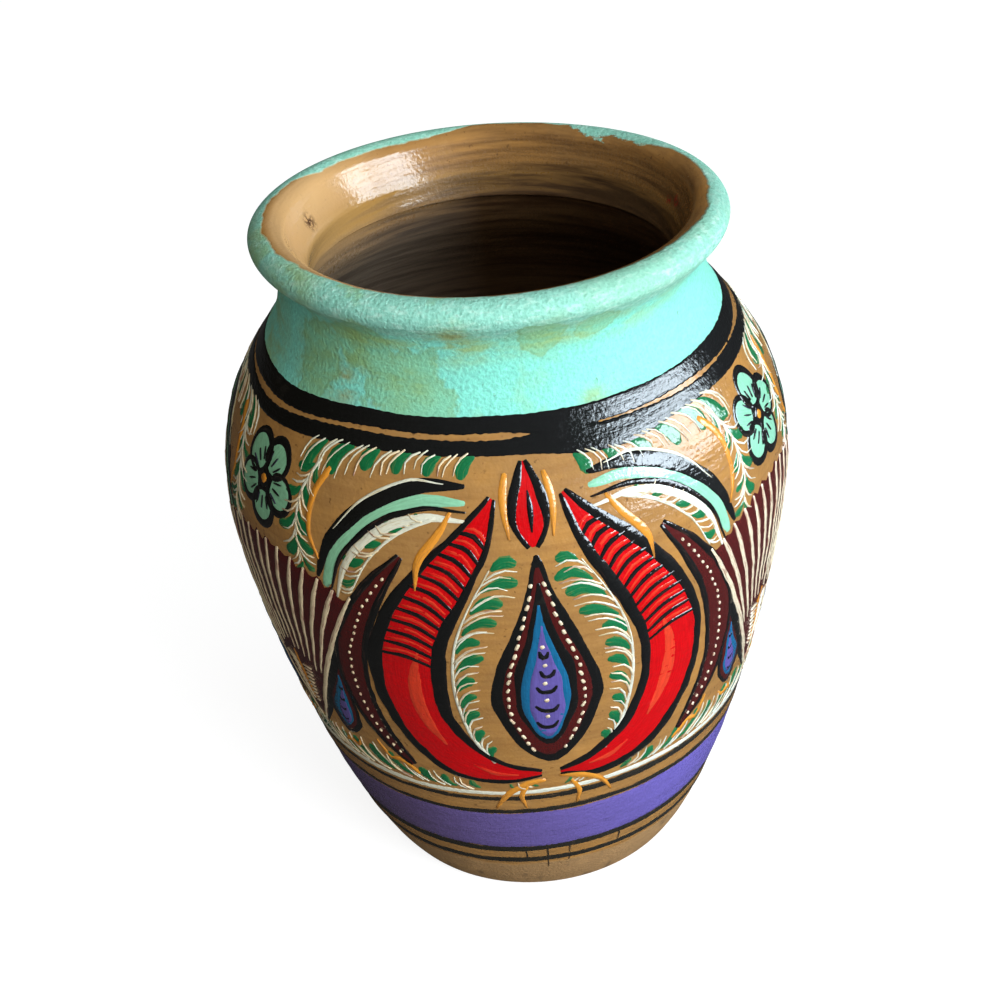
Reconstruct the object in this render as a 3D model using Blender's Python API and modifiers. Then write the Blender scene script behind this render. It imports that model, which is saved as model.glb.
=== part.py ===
"""A hand-built terracotta vase: floor disc, lower wall, shoulder wall, flared neck collar and rolled lip.

The pot stands on z = 0 with its axis on the world Z axis. Every piece is turned about that axis. The pieces
are luted together on slanted faces, and each piece sits on the one below it.
"""

import math

import bpy
from mathutils import Vector

# Outside of the pot, in metres
BELLY_RADIUS = 0.0696
BELLY_HEIGHT = 0.111
FOOT_RADIUS = 0.0420
FOOT_ROUND = 0.0035
FOOT_LEAN = math.radians(33)
NECK_RADIUS = 0.0502
NECK_HEIGHT = 0.1653

# Fullness of the curves: length of each end's handle, as a share of the height between the ends
FULLNESS_ABOVE_FOOT = 0.25
FULLNESS_BELOW_BELLY = 0.16
FULLNESS_ABOVE_BELLY = 0.64
FULLNESS_BELOW_NECK = 0.33
FULLNESS_OF_FLARE = 0.30

# Rolled lip: an oval coil, with its centre line placed from the narrowest place of the neck
LIP_REACH = 0.0012
LIP_RISE = 0.0109
LIP_HALF_WIDTH = 0.0045
LIP_HALF_DEPTH = 0.0038
LIP_SEAT_OUTER = math.radians(-35)
LIP_SEAT_INNER = math.radians(170)
FLARE_LEAN = math.radians(48)

# Clay
WALL = 0.0056
FLOOR = 0.0065
FLOOR_DISH = 0.0010
FLOOR_FILLET = 0.0060
FOOT_RING = 0.0110
DISC_TAPER = 0.0030

# Joints between the pieces
LUTE_GAP = 0.0003
BELLY_SCARF = 0.0022
NECK_SCARF = 0.0030

# Facets
SEGMENTS = 72
BODY_STEPS = 13
SHOULDER_STEPS = 11
FLARE_STEPS = 4
LIP_STEPS = 14
ROUND_STEPS = 4

# Linear colours
TURQUOISE = (0.19, 0.66, 0.50, 1.0)
VARNISHED_CLAY = (0.46, 0.23, 0.065, 1.0)
BARE_CLAY = (0.40, 0.18, 0.075, 1.0)


def clear_scene():
    for obj in list(bpy.data.objects):
        bpy.data.objects.remove(obj, do_unlink=True)


def material(name, colour, roughness):
    made = bpy.data.materials.new(name)
    made.use_nodes = True
    shader = made.node_tree.nodes["Principled BSDF"]
    shader.inputs["Base Color"].default_value = colour
    shader.inputs["Roughness"].default_value = roughness
    shader.inputs["Metallic"].default_value = 0.0
    return made


def curve(start, start_handle, end_handle, end, steps):
    """Points of a cubic curve, as (radius, height), with the outward normal at each."""
    points = []
    for step in range(steps + 1):
        t = step / steps
        s = 1 - t
        point = s**3 * start + 3 * s * s * t * start_handle + 3 * s * t * t * end_handle + t**3 * end
        along = s * s * (start_handle - start) + 2 * s * t * (end_handle - start_handle) + t * t * (end - end_handle)
        normal = Vector((along.y, -along.x)).normalized()
        points.append((point, normal))
    return points


def arc(centre, radius, start, end, steps):
    angles = [start + (end - start) * step / steps for step in range(steps + 1)]
    return [centre + radius * Vector((math.cos(a), math.sin(a))) for a in angles]


def inside(outline):
    """The inner face of the wall, one wall thickness in from each point of an outside curve."""
    return [point - WALL * normal for point, normal in outline]


def lowered(point, across, rise):
    """The point that leaves the lute gap under a slanted joint face."""
    return point - Vector((0, LUTE_GAP * math.hypot(across, rise) / across))


def body_curve():
    """From the foot's rounded edge up to the belly."""
    foot = Vector((FOOT_RADIUS, FOOT_ROUND * (1 - math.sin(FOOT_LEAN))))
    belly = Vector((BELLY_RADIUS, BELLY_HEIGHT))
    rise = belly.y - foot.y
    lean = Vector((math.sin(FOOT_LEAN), math.cos(FOOT_LEAN)))
    return curve(
        foot,
        foot + FULLNESS_ABOVE_FOOT * rise * lean,
        belly - Vector((0, FULLNESS_BELOW_BELLY * rise)),
        belly,
        BODY_STEPS,
    )


def shoulder_curve():
    """From the belly in over the shoulder to the narrowest place of the neck."""
    belly = Vector((BELLY_RADIUS, BELLY_HEIGHT))
    neck = Vector((NECK_RADIUS, NECK_HEIGHT))
    rise = neck.y - belly.y
    return curve(
        belly,
        belly + Vector((0, FULLNESS_ABOVE_BELLY * rise)),
        neck - Vector((0, FULLNESS_BELOW_NECK * rise)),
        neck,
        SHOULDER_STEPS,
    )


def lip_point(angle):
    centre = Vector((NECK_RADIUS + LIP_REACH, NECK_HEIGHT + LIP_RISE))
    return centre + Vector((LIP_HALF_WIDTH * math.cos(angle), LIP_HALF_DEPTH * math.sin(angle)))


def belly_joint():
    """Outer and inner end of the slanted face between the two walls."""
    outer = Vector((BELLY_RADIUS, BELLY_HEIGHT))
    return outer, outer + Vector((-WALL, BELLY_SCARF))


def neck_joint():
    """Outer and inner end of the face under the collar. Its inner end is the crease inside the mouth."""
    outer = Vector((NECK_RADIUS, NECK_HEIGHT))
    return outer, outer + Vector((-WALL, -NECK_SCARF))


def lip_joint():
    """Outer and inner end of the face that the rolled lip sits on."""
    return lip_point(LIP_SEAT_OUTER), lip_point(LIP_SEAT_INNER)


def under(joint):
    """The same face for the piece below the joint, a lute gap lower."""
    outer, inner = joint
    across, rise = outer.x - inner.x, inner.y - outer.y
    return lowered(outer, across, rise), lowered(inner, across, rise)


def disc_edge():
    """Lower and upper rim of the floor disc, which tapers towards the table."""
    lower = Vector((FOOT_RADIUS - FOOT_RING, 0))
    return lower, lower + Vector((DISC_TAPER, FLOOR))


def floor_disc_profile():
    lower, upper = disc_edge()
    return [Vector((0, FLOOR - FLOOR_DISH)), upper, lower, Vector((0, 0))]


def lower_wall_profile():
    """Down the outside, round the foot, in under the pot, up the disc's seat and up the inside."""
    outline = body_curve()
    outer_end, inner_end = under(belly_joint())
    outside = [outer_end] + [point for point, _ in reversed(outline[:-1])]
    centre = outside[-1] + FOOT_ROUND * Vector((-math.cos(FOOT_LEAN), math.sin(FOOT_LEAN)))
    foot = arc(centre, FOOT_ROUND, -FOOT_LEAN, -math.pi / 2, ROUND_STEPS)[1:]

    seat_gap = Vector((LUTE_GAP * math.hypot(DISC_TAPER, FLOOR) / FLOOR, 0))
    seat = [rim + seat_gap for rim in disc_edge()]

    wall_side = [p for p in inside(outline[:-1]) if p.y > FLOOR + FLOOR_FILLET]
    lowest = wall_side[0]
    corner = Vector((lowest.x - (lowest.y - FLOOR) * math.tan(FOOT_LEAN), FLOOR))
    floor_side = Vector((max(corner.x - FLOOR_FILLET, seat[1].x + LUTE_GAP), FLOOR))
    fillet = [floor_side.lerp(corner, t).lerp(corner.lerp(lowest, t), t) for t in (0, 0.25, 0.5, 0.75)]
    return outside + foot + seat + fillet + wall_side + [inner_end]


def shoulder_wall_profile():
    """Down the outside from the neck to the belly, over the joint face, and up the inside."""
    outline = shoulder_curve()
    outer_end, inner_end = under(neck_joint())
    belly_outer, belly_inner = belly_joint()
    outside = [outer_end] + [point for point, _ in reversed(outline[1:-1])] + [belly_outer]
    inner = [p for p in inside(outline[1:-1]) if belly_inner.y < p.y < inner_end.y - LUTE_GAP]
    return outside + [belly_inner] + inner + [inner_end]


def neck_collar_profile():
    """Down the flared outside, over the joint face, and up the flared inside of the mouth."""
    lip_outer, lip_inner = under(lip_joint())
    neck_outer, neck_inner = neck_joint()
    length = (lip_outer - neck_outer).length
    lean = Vector((math.sin(FLARE_LEAN), math.cos(FLARE_LEAN)))
    flare = curve(
        neck_outer,
        neck_outer + Vector((0, FULLNESS_OF_FLARE * length)),
        lip_outer - FULLNESS_OF_FLARE * length * lean,
        lip_outer,
        FLARE_STEPS,
    )
    middle = neck_inner.lerp(lip_inner, 0.5)
    return [point for point, _ in reversed(flare)] + [neck_inner, middle, lip_inner]


def rim_bead_profile():
    """Over the roll from its seat inside the mouth to its seat outside, closed by the joint face."""
    turn = LIP_SEAT_OUTER - LIP_SEAT_INNER
    return [lip_point(LIP_SEAT_INNER + turn * step / LIP_STEPS) for step in range(LIP_STEPS + 1)]


def turned(name, profile, closed, surface, collection, axis):
    """A piece turned about the pot's axis from its profile."""
    count = len(profile)
    edges = [(i, i + 1) for i in range(count - 1)]
    if closed:
        edges.append((count - 1, 0))
    mesh = bpy.data.meshes.new(name)
    mesh.from_pydata([(p.x, 0, p.y) for p in profile], edges, [])
    piece = bpy.data.objects.new(name, mesh)
    collection.objects.link(piece)
    piece.parent = axis

    screw = piece.modifiers.new("Turn", "SCREW")
    screw.angle = 2 * math.pi
    screw.steps = SEGMENTS
    screw.render_steps = SEGMENTS
    screw.use_merge_vertices = True
    screw.merge_threshold = 0.00001

    turned_mesh = bpy.data.meshes.new_from_object(
        piece.evaluated_get(bpy.context.evaluated_depsgraph_get())
    )
    piece.modifiers.clear()
    piece.data = turned_mesh
    bpy.data.meshes.remove(mesh)
    turned_mesh.name = name
    turned_mesh.shade_smooth()
    turned_mesh.set_sharp_from_angle(angle=math.radians(35))
    turned_mesh.materials.append(surface)
    return piece


def main():
    clear_scene()
    collection = bpy.data.collections.new("terracotta_vase")
    bpy.context.scene.collection.children.link(collection)
    axis = bpy.data.objects.new("vase_axis", None)
    collection.objects.link(axis)

    turquoise = material("turquoise_slip", TURQUOISE, 0.8)
    varnished = material("varnished_clay", VARNISHED_CLAY, 0.3)
    bare = material("bare_clay", BARE_CLAY, 0.75)

    turned("floor_disc", floor_disc_profile(), False, bare, collection, axis)
    turned("lower_wall", lower_wall_profile(), True, varnished, collection, axis)
    turned("shoulder_wall", shoulder_wall_profile(), True, varnished, collection, axis)
    turned("neck_collar", neck_collar_profile(), True, turquoise, collection, axis)
    turned("rim_bead", rim_bead_profile(), True, turquoise, collection, axis)


main()
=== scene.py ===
"""A luted terracotta vase with a turquoise neck, painted bands and brushed flowers, in soft studio light.

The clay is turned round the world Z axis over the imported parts. The paint is first drawn on a flat sheet,
where x runs round the belly and s up the wall from the foot, in millimetres, and is then laid on the pot.
"""

import functools
import math

import bpy
import numpy as np
from bpy.props import FloatProperty, FloatVectorProperty, IntProperty, PointerProperty
from mathutils import Matrix, Vector


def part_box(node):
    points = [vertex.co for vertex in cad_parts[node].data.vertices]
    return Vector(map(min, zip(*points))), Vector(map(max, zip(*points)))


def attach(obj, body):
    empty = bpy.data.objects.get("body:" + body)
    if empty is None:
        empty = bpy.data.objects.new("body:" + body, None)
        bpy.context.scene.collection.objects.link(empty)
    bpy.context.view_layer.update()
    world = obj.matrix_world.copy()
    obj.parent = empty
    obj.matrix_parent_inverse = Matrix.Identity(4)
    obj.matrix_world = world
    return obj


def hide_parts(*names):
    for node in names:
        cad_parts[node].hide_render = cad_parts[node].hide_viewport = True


bl_info = {
    "name": "Painted Clay Vase",
    "version": (1, 0, 0),
    "blender": (4, 5, 0),
    "location": "View3D > Sidebar > Vase",
    "description": "Builds a luted terracotta vase with a turquoise neck, painted bands and brushed flowers",
    "category": "Add Mesh",
}

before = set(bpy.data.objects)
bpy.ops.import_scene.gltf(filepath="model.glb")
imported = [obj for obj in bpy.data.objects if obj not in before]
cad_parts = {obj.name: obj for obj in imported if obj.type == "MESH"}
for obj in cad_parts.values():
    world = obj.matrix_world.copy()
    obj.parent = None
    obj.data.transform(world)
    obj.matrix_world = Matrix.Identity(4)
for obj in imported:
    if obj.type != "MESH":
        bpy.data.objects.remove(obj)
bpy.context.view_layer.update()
MM = 0.001

# Smaller measures of the clay, in metres
BELLY_SCARF, NECK_SCARF = 0.0022, 0.0030
FOOT_RING, DISC_TAPER = 0.0110, 0.0030
FLOOR_DISH, FLOOR_FILLET = 0.0010, 0.0060
LIP_REACH, LIP_RISE = 0.0012, 0.0109
LIP_SEAT_OUTER, LIP_SEAT_INNER, CREST = math.radians(-35), math.radians(170), math.pi / 2
CREASE_LEDGE = ((-0.0011, -0.0001), (-0.0015, 0.0003), (-0.0014, 0.0009))

# Fullness of the curves: length of each end's handle, as a share of the height between the ends
ABOVE_FOOT, BELOW_BELLY, ABOVE_BELLY, BELOW_NECK, OF_FLARE = 0.25, 0.16, 0.64, 0.33, 0.30
BODY_STEPS, SHOULDER_STEPS, FLARE_STEPS, TRACK_STEPS, BAND_STEPS = 104, 60, 12, 9000, 900

# What the hand did to the turned shape, in metres
RING_DEPTHS, RING_RISES = (0.000045, 0.00006), (0.00082, 0.0021)
LEAN_FROM, LEAN_FULL, LEAN_RIGHT, LEAN_BACK = 0.148, 0.178, 0.021, 0.0416
LIP_WAVE, FAR_LIP_UP, MOUTH_TIGHTER, MOUTH_ASIDE = 0.00052, 0.00030, 0.008, 0.0011
PINCH, PINCH_HEIGHT, PINCH_WIDTH = 0.0022, 0.1692, 0.0036

# Paint, in millimetres: how far a stroke's rim is sunk in the wall, and its narrowest half width
RIM_SUNK = -0.03
NARROWEST = 0.06


# Sizes and colours that a user would change


def number(name, description, value, **kind):
    return FloatProperty(name=name, description=description, default=value, **kind)


def length(name, description, value):
    return number(name, description, value, unit="LENGTH", precision=5)


def angle(name, description, value):
    return number(name, description, value, subtype="ANGLE")


def colour(name, description, value):
    limits = {"subtype": "COLOR", "size": 3, "min": 0, "max": 1}
    return FloatVectorProperty(name=name, description=description, default=value, **limits)


class VaseClay(bpy.types.PropertyGroup):
    belly_radius: length("Belly radius", "Radius at the widest place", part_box("lower_wall")[1][0])
    belly_height: length("Belly height", "Height of the widest place", 0.111)
    foot_radius: length("Foot radius", "Radius where the wall leaves the foot's round edge", 0.0420)
    foot_round: length("Foot edge", "Radius of the foot's round edge", 0.0035)
    foot_lean: angle("Foot lean", "Lean of the wall above the foot", math.radians(33))
    neck_radius: length("Neck radius", "Radius at the narrowest place of the neck", 0.0502)
    neck_height: length("Neck height", "Height of the narrowest place of the neck", 0.1653)
    lip_half_width: length("Lip half width", "Half the width of the rolled lip", 0.0045)
    lip_half_depth: length("Lip half depth", "Half the height of the rolled lip", 0.0038)
    flare_lean: angle("Flare lean", "Lean of the collar under the lip", math.radians(48))
    wall: length("Wall", "Thickness of the wall", 0.0056)
    floor: length("Floor", "Thickness of the floor", 0.0065)
    segments: IntProperty(name="Segments", description="Facets round the pot", min=72, max=360, default=288)
    clay: colour("Clay", "Ochre clay under the varnish", (0.42, 0.215, 0.066))
    bare: colour("Bare clay", "Unvarnished clay of the foot", (0.43, 0.245, 0.100))
    turquoise: colour("Turquoise", "Matt paint of the neck", (0.250, 0.79, 0.64))


class VasePaint(bpy.types.PropertyGroup):
    panels: IntProperty(name="Panels", description="Flower panels round the pot", min=1, max=4, default=3)
    turn: number("Turn", "Where the first panel's middle lies, in millimetres round from the front", 4.0)
    white_line: number("White line", "Height up the wall of the white line, in millimetres", 52.3)
    purple_low: number("Purple from", "Lower edge of the purple band up the wall, in millimetres", 25.6)
    purple_high: number("Purple to", "Upper edge of the purple band up the wall, in millimetres", 42.6)
    black: colour("Black", "Black enamel", (0.007, 0.0075, 0.008))
    red: colour("Red", "Red enamel", (0.60, 0.001, 0.004))
    scarlet: colour("Scarlet", "Lighter red over the red", (0.72, 0.050, 0.020))
    maroon: colour("Maroon", "Maroon enamel", (0.078, 0.008, 0.008))
    purple: colour("Purple", "Purple enamel", (0.128, 0.100, 0.395))
    blue: colour("Blue", "Blue enamel", (0.008, 0.135, 0.31))
    green: colour("Green", "Green enamel", (0.008, 0.165, 0.060))
    mint: colour("Mint", "Mint enamel", (0.27, 0.64, 0.45))
    cream: colour("Cream", "Cream enamel", (0.86, 0.76, 0.56))
    white: colour("White", "White enamel, laid thin", (0.80, 0.84, 0.76))
    orange: colour("Orange", "Orange enamel", (0.78, 0.32, 0.035))


class VaseStage(bpy.types.PropertyGroup):
    lens: number("Lens", "Focal length of the camera, in millimetres", 64.8)
    distance: length("Distance", "From the camera to the middle of the vase", 0.4712)
    aim: length("Aim", "Height that the camera looks at", 0.0787)
    rise: angle("Rise", "How far the camera looks down", 0.6238)
    roll: angle("Roll", "How far the camera leans over", 0.0966)
    window: number("Window", "Power of the window in front, in watts", 13.0)
    sky: number("Room light", "Strength of the room's light from its bright side", 0.55)
    dim: number("Room shade", "Strength of the room's light from its dim side", 0.10)


# Lines and curves


def line(start, end, steps):
    return np.linspace(start, end, steps + 1)


def hump(value, middle, width):
    """1 at the middle, and smoothly less on both sides."""
    return np.exp(-(((value - middle) / width) ** 2))


def ease(value, low, high):
    """From 0 at low to 1 at high, with a soft start and end."""
    t = np.clip((value - low) / (high - low), 0, 1)
    return t * t * (3 - 2 * t)


def run_along(points):
    """How far it is to each point from the first, by way of those between."""
    return np.concatenate([[0], np.cumsum(np.linalg.norm(np.diff(points, axis=0), axis=1))])


def unit(ways):
    return ways / np.maximum(np.linalg.norm(ways, axis=-1, keepdims=True), 1e-9)


def left_of(ways):
    """The same ways, turned a quarter to the left."""
    return np.stack([-ways[..., 1], ways[..., 0]], axis=-1)


def heading(path, k, back=0):
    """The way that a path goes on from its point k, or from some points back."""
    return unit(path[k + 1, :2] - path[k - back, :2])


def smooth(points):
    return np.concatenate([points[:1], (points[:-2] + 2 * points[1:-1] + points[2:]) / 4, points[-1:]])


def cubic(start, start_handle, end_handle, end, steps):
    """Points of a cubic curve, with the outward normal at each."""
    t = line(0, 1, steps)[:, None]
    u = 1 - t
    points = u**3 * start + 3 * u * u * t * start_handle + 3 * u * t * t * end_handle + t**3 * end
    along = u * u * (start_handle - start) + 2 * u * t * (end_handle - start_handle) + t * t * (end - end_handle)
    return points, unit(-left_of(along))


def through(points, spacing):
    """A smooth path through the drawn points, each (x, s, half width), with its length so far."""
    p = np.array(points, float)
    p = np.vstack([2 * p[0] - p[1], p, 2 * p[-1] - p[-2]])
    t = np.linspace(0, 1, 13)[:-1, None]
    parts = [
        0.5 * (2 * b + (c - a) * t + (2 * a - 5 * b + 4 * c - d) * t**2 + (3 * b - a - 3 * c + d) * t**3)
        for a, b, c, d in zip(p, p[1:], p[2:], p[3:])
    ]
    fine = np.vstack(parts + [p[-2:-1]])
    run = run_along(fine[:, :2])
    ends = min(0.3, run[-1] / 8)
    inner = np.linspace(ends, run[-1] - ends, max(4, int(round(run[-1] / spacing))))
    at = np.concatenate([[0], inner, [run[-1]]])
    return np.column_stack([np.interp(at, run, fine[:, k]) for k in range(3)]), at


def wander(size, waves, rng):
    """A line's unsteady way round the pot, which meets itself again."""
    turn = np.linspace(0, 2 * math.pi, BAND_STEPS, endpoint=False)
    total = np.zeros(BAND_STEPS)
    for wave in waves:
        total += np.sin(wave * turn + rng.uniform(0, 6.3)) * rng.uniform(0.5, 1)
    return total * size / len(waves) ** 0.5


def neck_band_edges(turn):
    """Upper, middle and lower line of the black neck bands, up the wall, at angles round from the front."""
    turn = np.mod(turn + math.pi, 2 * math.pi) - math.pi
    sag = ease(-turn, 0.50, 1.18) * (1 - ease(-turn, 1.90, 2.80))
    slope = np.where(turn > 0, -2.4, -0.9) * np.sin(turn) - 3.7 * sag
    thick = 2.1 * hump(turn, 0.40, 0.22) + 0.9 * hump(turn, -2.2, 0.5)
    return 160.5 + 0.75 * slope, 156.05 + slope, 151.9 + 1.05 * slope - thick


# The pot's form and its turned pieces


class PotForm:
    """The pot's outline, which the clay pieces are turned from and the paint is laid on."""

    def __init__(self, clay):
        self.clay = clay
        self.foot = np.array([clay.foot_radius, clay.foot_round * (1 - math.sin(clay.foot_lean))])
        self.belly = np.array([clay.belly_radius, clay.belly_height])
        self.neck = np.array([clay.neck_radius, clay.neck_height])
        self.lip = self.neck + (LIP_REACH, LIP_RISE)
        self.belly_seat = self.belly + (-clay.wall, BELLY_SCARF)
        self.crease = self.neck + (-clay.wall, -NECK_SCARF)
        rise = self.belly[1] - self.foot[1]
        up = np.array([math.sin(clay.foot_lean), math.cos(clay.foot_lean)])
        low, high = self.foot + ABOVE_FOOT * rise * up, self.belly - (0, BELOW_BELLY * rise)
        self.body = cubic(self.foot, low, high, self.belly, BODY_STEPS)
        rise = self.neck[1] - self.belly[1]
        low, high = self.belly + (0, ABOVE_BELLY * rise), self.neck - (0, BELOW_NECK * rise)
        self.shoulder = cubic(self.belly, low, high, self.neck, SHOULDER_STEPS)
        self.points, self.normals = (np.vstack([a, b[1:]]) for a, b in zip(self.body, self.shoulder))
        self.up_wall = run_along(self.points) / MM
        self.track, self.run, self.crest = self.surface_track()

    def lip_point(self, turn):
        clay = self.clay
        return self.lip + (clay.lip_half_width * math.cos(turn), clay.lip_half_depth * math.sin(turn))

    def roll(self, start, end, steps):
        return np.array([self.lip_point(a) for a in line(start, end, steps)])

    def disc_edge(self):
        low = np.array([self.clay.foot_radius - FOOT_RING, 0])
        return low, low + (DISC_TAPER, self.clay.floor)

    def foot_arc(self):
        """The foot's round edge, from the wall down to the table."""
        lean, size = self.clay.foot_lean, self.clay.foot_round
        angles = line(-lean, -math.pi / 2, 8)
        start = (math.cos(lean), -math.sin(lean))
        return self.foot + size * (np.column_stack([np.cos(angles), np.sin(angles)]) - start)

    def flare(self):
        """The collar's outside, from the neck to the lip."""
        end = self.lip_point(LIP_SEAT_OUTER)
        handle = OF_FLARE * np.linalg.norm(end - self.neck)
        lean = np.array([math.sin(self.clay.flare_lean), math.cos(self.clay.flare_lean)])
        return cubic(self.neck, self.neck + (0, handle), end - handle * lean, end, FLARE_STEPS)[0]

    def inside_of(self, curve, low, high):
        """The wall's inner face behind an outer curve, between two heights."""
        points = curve[0] - self.clay.wall * curve[1]
        return points[(points[:, 1] > low) & (points[:, 1] < high)]

    def surface_track(self):
        """The whole outline from under the foot over the lip to the floor, and the millimetres along it."""
        floor = self.clay.floor
        walls = (self.body, self.shoulder)
        inside = np.vstack([self.inside_of(wall, floor, self.crease[1]) for wall in walls])
        under = np.vstack([[(0, 0)], self.foot_arc()[::-1]])
        over = np.vstack([self.points, self.flare()[1:], self.roll(LIP_SEAT_OUTER, CREST, 20)])
        after = np.vstack([self.roll(CREST, LIP_SEAT_INNER, 14)[1:], [self.crease], inside[::-1], [(0, floor)]])
        corners = np.vstack([under, over[1:], after])
        run = run_along(corners)
        fine = np.linspace(0, run[-1], TRACK_STEPS)
        track = np.column_stack([np.interp(fine, run, corners[:, k]) for k in (0, 1)])
        foot, top = len(under) - 1, len(under) + len(over) - 2
        return track, (fine - run[foot]) / MM, (run[top] - run[foot]) / MM

    def laid(self, x, s, lift):
        """Points of the flat sheet, laid on the wall, with their lift above it in millimetres."""
        turn = x * MM / self.clay.belly_radius - math.pi / 2
        r, z, out, up = (np.interp(s, self.up_wall, value) for value in (*self.points.T, *self.normals.T))
        r, z = r + lift * MM * out, z + lift * MM * up
        return self.uneven(np.column_stack([r * np.cos(turn), r * np.sin(turn), z]))

    def uneven(self, points):
        """The unevenness of a pot shaped by hand, the same for the clay and for the paint on it."""
        x, y, z = points.T
        turn, r = np.arctan2(y, x), np.hypot(x, y)
        rings = np.sin(z / RING_RISES[0] + 1.3 * np.sin(turn + 0.7)) * RING_DEPTHS[0]
        rings = rings + np.sin(z / RING_RISES[1] + 2 * np.sin(turn)) * RING_DEPTHS[1]
        egg = 0.00028 * np.sin(2 * turn + 0.6) + 0.00016 * np.sin(3 * turn + 14 * z)
        egg = egg + 0.00010 * np.sin(5 * turn - 40 * z)
        wider = 1 + np.clip(z / 0.02, 0, 1) * (rings + egg) / np.maximum(r, 0.02)
        top = ease(z, LEAN_FROM, LEAN_FULL)
        leant = z - (LEAN_RIGHT * x + LEAN_BACK * y + LIP_WAVE * (1 - np.cos(2 * turn))) * top
        leant += FAR_LIP_UP * np.clip(np.sin(turn), 0, 1) ** 2 * top
        pinch = PINCH * np.clip(-np.cos(turn), 0, 1) ** 2 * hump(z, PINCH_HEIGHT, PINCH_WIDTH)
        aside = x * wider * (1 - MOUTH_TIGHTER * top) + MOUTH_ASIDE * top + pinch
        return np.column_stack([aside, y * wider, leant])


def clean_start():
    if bpy.context.mode != "OBJECT":
        bpy.ops.object.mode_set(mode="OBJECT")
    bpy.ops.object.select_all(action="DESELECT")


def turned_piece(name, outline, closed, form):
    """A piece drawn point by point as an outline at the right of the axis, and spun round the axis."""
    clean_start()
    bpy.ops.mesh.primitive_plane_add(size=MM)
    piece = bpy.context.object
    piece.name = piece.data.name = name
    bpy.ops.object.mode_set(mode="EDIT")
    bpy.ops.mesh.select_mode(type="VERT")
    bpy.ops.mesh.select_all(action="SELECT")
    bpy.ops.mesh.merge(type="CENTER")
    bpy.ops.transform.translate(value=(outline[0, 0], 0, outline[0, 1]))
    path = np.vstack([outline, outline[:1]]) if closed else outline
    for step in np.diff(path, axis=0):
        bpy.ops.mesh.extrude_region_move(TRANSFORM_OT_translate={"value": (step[0], 0, step[1])})
    bpy.ops.mesh.select_all(action="SELECT")
    bpy.ops.mesh.spin(steps=form.clay.segments, angle=2 * math.pi, center=(0, 0, 0), axis=(0, 0, 1))
    bpy.ops.mesh.select_all(action="SELECT")
    bpy.ops.mesh.remove_doubles(threshold=0.000005)
    bpy.ops.mesh.normals_make_consistent(inside=False)
    bpy.ops.object.mode_set(mode="OBJECT")
    return piece


def note(mesh, name, values):
    mesh.attributes.new(name, "FLOAT", "POINT").data.foreach_set("value", values)


def finish_clay(piece, form, node):
    """Notes where each point lies on the pot's surface, and gives the piece its unevenness and its finish."""
    mesh = piece.data
    points = np.empty(len(mesh.vertices) * 3)
    mesh.vertices.foreach_get("co", points)
    points = points.reshape(-1, 3)
    turn = np.arctan2(points[:, 1], points[:, 0])
    places = np.round(np.column_stack([np.hypot(points[:, 0], points[:, 1]), points[:, 2]]), 6)
    outline, which = np.unique(places, axis=0, return_inverse=True)
    nearest = [np.argmin(((form.track - corner) ** 2).sum(axis=1)) for corner in outline]
    run = form.run[nearest][which.ravel()]
    top, middle, _ = neck_band_edges(turn + math.pi / 2)
    note(mesh, "past_crest", run - form.crest)
    note(mesh, "over_band", run - (top + middle) / 2)
    mesh.vertices.foreach_set("co", form.uneven(points).ravel())
    name = "painted_clay_wall"
    mesh.materials.append(bpy.data.materials.get(name) or clay_wall(name, form.clay))
    clean_start()
    piece.select_set(True)
    bpy.context.view_layer.objects.active = piece
    bpy.ops.object.shade_smooth_by_angle(angle=math.radians(40))
    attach(piece, "root")
    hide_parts(node)


# Paint strokes on the flat sheet


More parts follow.
